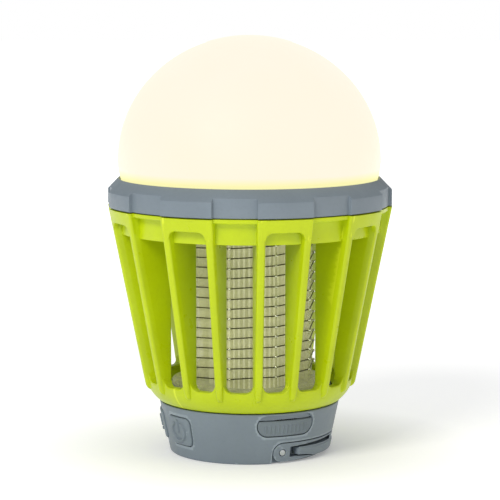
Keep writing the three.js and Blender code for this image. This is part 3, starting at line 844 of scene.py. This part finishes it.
def dome():
    """Half an ellipse above its waist and part of a deeper one below it, hollow."""

    def arc(inset, count):
        low = -math.asin((DOME_WAIST - DOME_NECK) / (DOME_DEPTH - inset))
        points = []
        for a in steps(low, math.pi / 2, count):
            rise = (DOME_DEPTH if a < 0 else DOME_HEIGHT) - inset
            points.append(((DOME_RADIUS - inset) * math.cos(a), DOME_WAIST + rise * math.sin(a)))
        points[-1] = (0, points[-1][1])
        return points

    outside, inside = arc(0, 60), arc(DOME_WALL, 40)
    foot = outside[0][0]
    edge = [(foot - DOME_WALL, DOME_LOW.z), (foot, DOME_LOW.z)]
    outline = list(reversed(inside)) + edge + outside
    obj = cap_lathe("dome_shell", outline, 192)
    return finish_piece(obj, DOME, "shade", "diffuser", "dome")


# ---------------------------------------------------------------------------------------------
# Base: shell, buttons, port cover, bail
# ---------------------------------------------------------------------------------------------


def base_shell():
    neck_top = BASE_HIGH.z
    wall = [(base_radius(z), z) for z in steps(1.2, BASE_TOP - 0.8, 12)]
    profile = [
        (LEDGE_INNER, 0),
        (BASE_FOOT, 0),
        *wall,
        (base_radius(BASE_TOP), BASE_TOP),
        (NECK_RADIUS, BASE_TOP),
        (NECK_RADIUS, neck_top),
        (NECK_RADIUS - 2, neck_top),
        (NECK_RADIUS - 2, BASE_TOP),
        (base_radius(BASE_SHOULDER) - BASE_WALL, BASE_SHOULDER),
        (base_radius(LEDGE_TOP) - BASE_WALL, LEDGE_TOP),
        (LEDGE_INNER, LEDGE_TOP),
    ]
    radii = [0.2, 0.7, *[0] * len(wall), 0.3, 0.1, 0.3, 0.3, 0.1, 0.1, 0.1, 0.1]
    obj = lathe("base_body", fillet(profile, radii), 360)
    roof = PIVOT_Z + RECESS_RADIUS + 1.3
    housing = [ring_section(LEDGE_INNER, HOUSING_OUTER, angle, HOUSING_LOW, roof)
               for angle in steps(PIVOT_ANGLE - 12, PIVOT_ANGLE + 192, 120)]
    combine(obj, loft("housing", housing), "UNION")
    pad = wall_patch(
        "pad", PORT_ANGLE, PORT_Z - 0.3, (PORT_LENGTH + 3, PAD_HEIGHT), 3.5, 1, PORT_DEPTH + 1.7,
    )
    combine(obj, pad, "UNION")
    recess = wall_patch(
        "recess", PORT_ANGLE, PORT_Z, (PORT_LENGTH, PORT_HEIGHT), PORT_HEIGHT / 2 - 0.01,
        -1.0, lambda v: PORT_DEPTH if PORT_Z + v < COVER_TOP + 0.25 else NOTCH_DEPTH, grid=(60, 60),
    )
    combine(obj, recess, "DIFFERENCE")
    mouth = fillet(rectangle(*PORT_MOUTH), 1.2)
    combine(obj, prism("mouth", mouth, PORT_ANGLE, 18, 40), "DIFFERENCE")
    for angle, z in BUTTONS.values():
        size = (BUTTON_WIDTH + 0.5, BUTTON_HEIGHT + 0.5)
        hole = wall_patch("hole", angle, z, size, BUTTON_CORNER + 0.25, -2, 6)
        combine(obj, hole, "DIFFERENCE")
    combine(obj, bail_recess(), "DIFFERENCE")
    for angle in (PIVOT_ANGLE, PIVOT_ANGLE + 180):
        hole = prism("hole", circle(PIN_HOLE, 0, PIVOT_Z), angle, 15, 40)
        combine(obj, hole, "DIFFERENCE")
    for angle in turns(3, 60):
        combine(obj, neck_slot(angle), "DIFFERENCE")
    soften(obj, 0.12, 50)
    refine(obj, 1.0)
    return finish_piece(obj, GREY, "base", "grey_plastic", "base_shell", angle=30)


def pivot_arc(radius, first, last, side=1):
    """An arc round the bail's pivot, as points across and up."""
    return [
        (side * radius * math.cos(math.radians(a)), PIVOT_Z + radius * math.sin(math.radians(a)))
        for a in steps(first, last, 28)
    ]


def bail_recess():
    """Open below, round at each eye."""
    top = PIVOT_Z + RECESS_RADIUS
    outer = base_radius(top) + 1
    sections = [ring_section(RECESS_FLOOR, outer, angle, -1, top)
                for angle in steps(PIVOT_ANGLE, PIVOT_ANGLE + 180, 160)]
    obj = loft("bail_recess", sections)
    for angle in (PIVOT_ANGLE, PIVOT_ANGLE + 180):
        half = pivot_arc(RECESS_RADIUS, 0, 180)
        outline = half + [(-RECESS_RADIUS, -1.2), (RECESS_RADIUS, -1.2)]
        combine(obj, prism("end", outline, angle, RECESS_FLOOR + 0.01, outer + 0.01), "UNION")
    return obj


def neck_slot(angle):
    def block(start, end, high):
        return loft("slot", [
            [polar(r, t, z) for r, z in ((24.2, 17.6), (26.4, 17.6), (26.4, high), (24.2, high))]
            for t in steps(start, end, 12)
        ])

    return combine(block(angle - 5, angle + 5, 22), block(angle - 23, angle + 4.9, 19.3), "UNION")


def power_symbol(x, z):
    """A raised ring, open at the top, with a bar in the gap."""
    radius, line = 2.9, 0.36
    z += 0.1
    angle = abs(math.degrees(math.atan2(x, z)))
    ring = abs(math.hypot(x, z) - radius)
    if angle < 32:
        end = math.radians(32)
        ring = math.hypot(abs(x) - radius * math.sin(end), z - radius * math.cos(end))
    bar = math.hypot(x, max(0, abs(z - 1.7) - 1.6))
    return 0.5 * smooth_step(line + 0.14 - min(ring, bar), 0.22)


def bulb_symbol(x, z):
    """A raised disc over a short bar, for the lamp."""
    disc = abs(math.hypot(x, z - 0.6) - 1.55)
    bar = math.hypot(max(0, abs(x) - 0.8), z + 2.0)
    return 0.45 * smooth_step(0.46 - min(disc, bar), 0.22)


def smooth_step(value, width):
    t = min(max(value / width, 0), 1)
    return t * t * (3 - 2 * t)


def button(name, relief):
    angle, z = BUTTONS[name]
    size = (BUTTON_WIDTH, BUTTON_HEIGHT)
    obj = wall_patch(
        f"{name}_cap", angle, z, size, BUTTON_CORNER, -BUTTON_PROUD, 3.1, 0.45, (90, 76), relief
    )
    rim_size = (BUTTON_WIDTH + 1.6, BUTTON_HEIGHT + 1.6)
    rim = wall_patch("rim", angle, z, rim_size, BUTTON_CORNER + 0.8, 2.35, 3.05, 0.1, (24, 20))
    combine(obj, rim, "UNION")
    back = base_radius(z) - 3.1
    combine(obj, prism("stem", circle(1.2, 0, z), angle, back - 0.85, back + 0.5), "UNION")
    return finish_piece(obj, GREY, name, "grey_plastic", name, angle=30)


def port_cover():
    """Rubber cover with a row of plain grip ribs."""

    def ribs(x, v):
        z = PORT_Z + v
        across = smooth_step(7.3 - abs(x), 0.4) * smooth_step(1.5 - abs(z - 11.05), 0.5)
        wave = smooth_step(math.cos(2 * math.pi * x / 1.35), 0.9)
        return 0.22 * across * wave

    size = (PORT_LENGTH - 0.5, PORT_HEIGHT - 0.5)
    obj = wall_patch(
        "port_cover_flap", PORT_ANGLE, PORT_Z, size, size[1] / 2 - 0.01, 0.02, PORT_DEPTH - 0.25,
        0.4, (150, 60), ribs, COVER_TOP,
    )
    back = base_radius(PORT_Z) - PORT_DEPTH
    plug = fillet(rectangle(-3.2, 3.2, 11.1, 12.9), 0.6)
    combine(obj, prism("plug", plug, PORT_ANGLE, back - 0.7, back + 0.5), "UNION")
    return finish_piece(obj, COVER, "port_cover", "grey_rubber", "port_cover", angle=30)


def bail_end(angle, side):
    """Eye and the plate beside it."""
    low, high = PIVOT_Z - BAIL_EYE, PIVOT_Z + BAIL_EYE
    eye = pivot_arc(BAIL_EYE, 90, 270, side)
    plate = [(side * 8.5, low + 0.5), (side * 8.5, high)]
    return prism("bail_end", eye + plate, angle, 10, 30)


def bail_end_cuts(angle, side):
    """Window beside the eye, finger groove that widens away from it, and pin hole."""
    window = rectangle(*sorted((side * 2.5, side * 5.6)), WINDOW_LOW, WINDOW_HIGH)
    groove = [(side * 5, 4.75), (side * 20, 4.45), (side * 20, 6.0), (side * 5, 5.3)]
    under = [(5, WINDOW_LOW), (9.5, 1.5), (13.5, 0.7), (13.5, 1.15), (9.5, 1.95), (5, 2.3)]
    cut = prism("window", fillet(window, 0.25), angle, 8, 40)
    combine(cut, prism("under", [(side * x, z) for x, z in under], angle, 8.1, 39.9), "UNION")
    combine(cut, prism("groove", fillet(groove, [0.05, 0.4, 0.4, 0.05]), angle, 7.9, 40.1), "UNION")
    hole = prism("hole", circle(PIN_HOLE, 0, PIVOT_Z), angle, 8, 40)
    return join("cuts", [cut, hole])


def bail():
    layer = lathe("layer", [
        (BAIL_INNER, 0.15),
        (base_radius(0.15) - 0.25, 0.15),
        (base_radius(0.6), 0.6),
        *[(base_radius(z), z) for z in steps(1.6, BAIL_HIGH, 5)],
        (BAIL_INNER, BAIL_HIGH),
    ], 360)
    strap = []
    for turn in [90 - (90 - STRAP_START) * math.cos(math.radians(t)) for t in steps(0, 180, 150)]:
        grow = min((min(turn, 180 - turn) - STRAP_START) / 5.0, 1)
        grow = math.sqrt(max(0.0, 1 - (1 - grow) ** 2))
        outer = base_radius(BAIL_LOW) + 0.05 - 0.7 * (1 - grow)
        fall = base_radius(BAIL_HIGH) - base_radius(BAIL_LOW)
        outline = fillet([
            (BAIL_INNER, BAIL_LOW),
            (outer - 0.05, BAIL_LOW),
            (outer + fall, BAIL_HIGH),
            (BAIL_INNER, BAIL_HIGH),
        ], [0.2, 0.6, 0.2, 0.2], 5)
        strap.append([polar(r, PIVOT_ANGLE + turn, z) for r, z in outline])
    obj = combine(bail_end(PIVOT_ANGLE, 1), bail_end(PIVOT_ANGLE + 180, -1), "UNION")
    combine(obj, layer, "INTERSECT")
    combine(obj, loft("strap", strap), "UNION")
    for angle, side in ((PIVOT_ANGLE, 1), (PIVOT_ANGLE + 180, -1)):
        combine(obj, bail_end_cuts(angle, side), "DIFFERENCE")
    soften(obj, 0.12, 50)
    combine(obj, grip(), "UNION")
    refine(obj, 1.0)
    obj.name = "bail_handle"
    return finish_piece(obj, GREY, "bail", "grey_plastic", "bail", angle=30)


def grip():
    """Rounded bar that swells out of the strap between the windows in its two ends."""
    sections = []
    for turn in [90 - (90 - GRIP_START) * math.cos(math.radians(t)) for t in steps(0, 180, 180)]:
        along = min(turn, 180 - turn) - GRIP_START
        swell = math.sqrt(max(0.0, 1 - (1 - min(along / 3.2, 1)) ** 2))
        sink = smooth_step(along - 2, 22)
        low = 2.2 - 1.15 * sink
        high = 4.75 - 0.3 * sink
        middle, half = (low + high) / 2, (high - low) / 2 * (0.72 + 0.28 * swell)
        crown = base_radius(middle) - 0.9 + 1.3 * swell
        fall = base_radius(high) - base_radius(middle)
        outline = fillet([
            (BAIL_INNER + 0.4, middle - half),
            (crown - fall, middle - half),
            (crown + fall, middle + half),
            (BAIL_INNER + 0.4, middle + half),
        ], [0.1, 0.85, 0.85, 0.1], 6)
        sections.append([polar(r, PIVOT_ANGLE + turn, z) for r, z in outline])
    return loft("grip", sections)


def bail_pins():
    for name, angle in (("bail_pin_front", PIVOT_ANGLE), ("bail_pin_rear", PIVOT_ANGLE + 180)):
        face = base_radius(PIVOT_Z) - 0.1
        across = sideways(angle)
        sections = []
        for distance, radius in (
            (PIN_ROOT, PIN_RADIUS), (face - 0.15, PIN_RADIUS), (face - 0.03, 0.88), (face, 0.6),
        ):
            outline = circle(radius, 0, PIVOT_Z, 28)
            sections.append([polar(distance, angle, z) + across * x for x, z in outline])
        finish_piece(loft(f"{name}_head", sections), PIN, "base", "steel", name)


# ---------------------------------------------------------------------------------------------
# Grid and centre column
# ---------------------------------------------------------------------------------------------


def grid_carrier():
    """Nine flat faces between ribs, on a round flange."""
    def outline(radius):
        return [tuple(polar(radius, a, 0).xy) for a in turns(GRID_SIDES, GRID_FIRST)]

    low, high = CARRIER_LOW.z + 1.5, CARRIER_HIGH.z
    tube = loft("carrier_body", [
        [Vector((x, y, z)) for x, y in fillet(outline(CARRIER_CORNER), 0.5)]
        for z in (low - 0.5, high)
    ])
    flange = cap_lathe("flange", [
        (0, low - 1.5), (23.8, low - 1.5), (FLANGE_RADIUS, low - 1.3), (FLANGE_RADIUS, low - 0.2),
        (23.8, low), (0, low),
    ], 120)
    combine(tube, flange, "UNION")
    for angle in turns(GRID_SIDES, GRID_FIRST):
        at = polar(RIB_CENTRE, angle, 0)
        rib = loft("rib", [
            [at + Vector((x, y, z)) for x, y in circle(RIB_RADIUS, 0, 0, 20)]
            for z in (low - 0.4, high)
        ])
        combine(tube, rib, "UNION")
    bore = loft("bore", [
        [Vector((x, y, z)) for x, y in outline(CARRIER_CORNER - 1.2)] for z in (10, 80)
    ])
    combine(tube, bore, "DIFFERENCE")
    return finish_piece(tube, CARRIER, "base", "clear_plastic", "grid_carrier", angle=25)


def fluted_tube():
    per = 8
    outline = [
        (TUBE_RADIUS - FLUTE_DEPTH + FLUTE_DEPTH * abs(math.cos(math.pi * i / per)),
         360 * i / (FLUTE_COUNT * per))
        for i in range(FLUTE_COUNT * per)
    ]
    ends = (TUBE_LOW.z, TUBE_HIGH.z)
    obj = loft("fluted_cover", [[polar(r, angle, z) for r, angle in outline] for z in ends])
    bore = loft("bore", [[polar(TUBE_BORE, a, z) for a in turns(96, 0)] for z in (10, 80)])
    combine(obj, bore, "DIFFERENCE")
    return finish_piece(obj, FLUTES, "base", "clear_plastic", "uv_cover_tube", angle=50)


def grid_wire(name, start, seed):
    """A helix of straight spans from rib to rib, each a little uneven as hand-wound wire is."""
    draw = random.Random(seed)
    corners = []
    for i in range(WIRE_SPANS + 1):
        wander = draw.uniform(-0.22, 0.22)
        z = start + i / GRID_SIDES * WIRE_PITCH + wander * (0 < i < WIRE_SPANS)
        corners.append(polar(WIRE_CORNER, WIRE_FIRST + 360 * i / GRID_SIDES, z))
    path = []
    for i, (a, b) in enumerate(zip(corners, corners[1:])):
        bow = draw.uniform(-0.1, 0.1)
        for t in (0.04, 0.28, 0.5, 0.72, 0.96):
            sag = Vector((0, 0, bow * math.sin(math.pi * t)))
            path.append(a.lerp(b, t) + sag)
    sections = []
    for i, point in enumerate(path):
        ahead = path[min(i + 1, len(path) - 1)] - path[max(i - 1, 0)]
        side = ahead.cross(Vector((0, 0, 1))).normalized()
        up = side.cross(ahead).normalized()
        sections.append([
            point + (side * math.cos(a) + up * math.sin(a)) * WIRE_RADIUS
            for a in [math.radians(t) for t in turns(8, 0)]
        ])
    obj = loft(f"{name}_wound", sections)
    finish_piece(obj, WIRE, "base", "grid_wire", name, angle=60)
    return corners


def wire_beads(corners):
    """Bright drops where the wires are fixed to the ribs."""
    drops = []
    for at in corners:
        rings = []
        for t in steps(-80, 80, 6):
            a = math.radians(t)
            ring = []
            for b in [math.radians(u) for u in turns(10, 0)]:
                way = Vector((math.cos(a) * math.cos(b), math.cos(a) * math.sin(b), math.sin(a)))
                ring.append(at + way * BEAD_RADIUS)
            rings.append(ring)
        drops.append(loft("bead", rings))
    obj = join("wire_beads", drops)
    return finish_piece(obj, BEAD, "base", "grid_wire", angle=60)


# ---------------------------------------------------------------------------------------------
# CAD pieces that keep their shape
# ---------------------------------------------------------------------------------------------

KEPT = {
    "base_bottom_plate": GREY,
    "base_deck": GREY,
    "grid_cap": WHITE,
    "reflector_plate": WHITE,
    "lamp_board": WHITE,
    "seal_ring": SEAL,
    "control_board": BOARD,
    "port_board": BOARD,
    "power_switch_board": BOARD,
    "mode_switch_board": BOARD,
    "hv_transformer": WINDING,
    "hv_capacitor": BLACK,
    "power_switch": BLACK,
    "mode_switch": BLACK,
    "usb_socket": STEEL,
    "battery_cell": CELL,
    "battery_spring": STEEL,
    "battery_contact": STEEL,
    **{f"bottom_screw_{i}": STEEL for i in (1, 2, 3)},
    **{f"lamp_led_{i}": LED for i in range(1, 7)},
    **{f"uv_led_strip_{i}": UV_LED for i in range(1, 5)},
}


def dress_kept_nodes():
    for name, material in KEPT.items():
        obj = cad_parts[name]
        obj.data.materials.clear()
        obj.data.materials.append(material)


# ---------------------------------------------------------------------------------------------
# Stage
# ---------------------------------------------------------------------------------------------


def floor():
    reach = 4000
    points = [Vector((x, y, 0)) for x, y in ((-1, -1), (1, -1), (1, 1), (-1, 1))]
    obj = new_object("studio_floor", [p * reach for p in points], [(0, 1, 2, 3)])
    n = Nodes("pale_floor")
    body = n.mix(n.span(n.noise(3, 4), 0, 1), (0.86, 0.86, 0.86, 1), (0.9, 0.9, 0.9, 1))
    n.link(body, n.shader.inputs["Base Color"])
    n.link(body, n.shader.inputs["Emission Color"])
    # Painted shadow: the floor's glow is weaker close to the object and grows towards an evenly
    # bright floor far out.
    far = n.add("ShaderNodeVectorMath", operation="LENGTH")
    n.link(n.place, far.inputs[0])
    glow_with_painted_shadow = n.add("ShaderNodeMath", operation="ADD")
    n.link(n.span(far.outputs["Value"], 0.22, 0.58, 0.024, 0.075), glow_with_painted_shadow.inputs[0])
    n.link(n.span(far.outputs["Value"], 0, 0.8, 0.15, 1.0), glow_with_painted_shadow.inputs[1])
    n.link(glow_with_painted_shadow.outputs["Value"], n.shader.inputs["Emission Strength"])
    n.shader.inputs["Roughness"].default_value = 0.7
    n.shader.inputs["Specular IOR Level"].default_value = 0.2
    obj.data.materials.append(n.material)


def area_light(name, at, size, power, color=(1, 1, 1)):
    data = bpy.data.lights.new(name, "AREA")
    data.shape = "DISK"
    data.size = size
    data.energy = power
    data.color = color
    obj = bpy.data.objects.new(name, data)
    obj.location = at
    aim = Vector((0, 0, 0.06)) - Vector(at)
    obj.rotation_euler = aim.to_track_quat("-Z", "Y").to_euler()
    bpy.context.scene.collection.objects.link(obj)


def studio():
    world = bpy.data.worlds.new("studio")
    world.use_nodes = True
    tree = world.node_tree
    background = tree.nodes["Background"]
    background.inputs["Color"].default_value = (0.93, 0.96, 1, 1)
    background.inputs["Strength"].default_value = 0.45
    backdrop = tree.nodes.new("ShaderNodeBackground")
    backdrop.inputs["Color"].default_value = (1, 1, 1, 1)
    seen = tree.nodes.new("ShaderNodeLightPath")
    either = tree.nodes.new("ShaderNodeMixShader")
    tree.links.new(seen.outputs["Is Camera Ray"], either.inputs["Fac"])
    tree.links.new(background.outputs["Background"], either.inputs[1])
    tree.links.new(backdrop.outputs["Background"], either.inputs[2])
    tree.links.new(either.outputs["Shader"], tree.nodes["World Output"].inputs["Surface"])
    bpy.context.scene.world = world
    area_light("key", (-0.5, -0.8, 0.8), 0.5, 7, (1, 0.96, 0.88))
    area_light("fill", (0.9, -0.35, 0.3), 0.5, 1.0, (1, 0.72, 0.35))
    bpy.context.scene.view_settings.view_transform = "Standard"


def camera():
    """The photograph's viewing angle: slightly above, looking along +Y and a little down."""
    data = bpy.data.cameras.new("camera")
    data.lens = CAMERA_LENS
    data.sensor_width = 36
    data.clip_end = 20
    obj = bpy.data.objects.new("camera", data)
    pitch = Matrix.Rotation(math.radians(90 - CAMERA_DOWN), 4, "X")
    obj.matrix_world = Matrix.Translation(CAMERA_AT) @ pitch
    bpy.context.scene.collection.objects.link(obj)
    bpy.context.scene.camera = obj


# ---------------------------------------------------------------------------------------------

camera()
studio()
floor()
cage()
trim_ring()
dome()
base_shell()
button("power_button", power_symbol)
button("mode_button", bulb_symbol)
port_cover()
bail()
bail_pins()
grid_carrier()
fluted_tube()
wound = grid_wire("grid_wire_a", WIRE_START, 3)
wound += grid_wire("grid_wire_b", WIRE_START + WIRE_PITCH / 2, 8)
wire_beads(wound)
dress_kept_nodes()
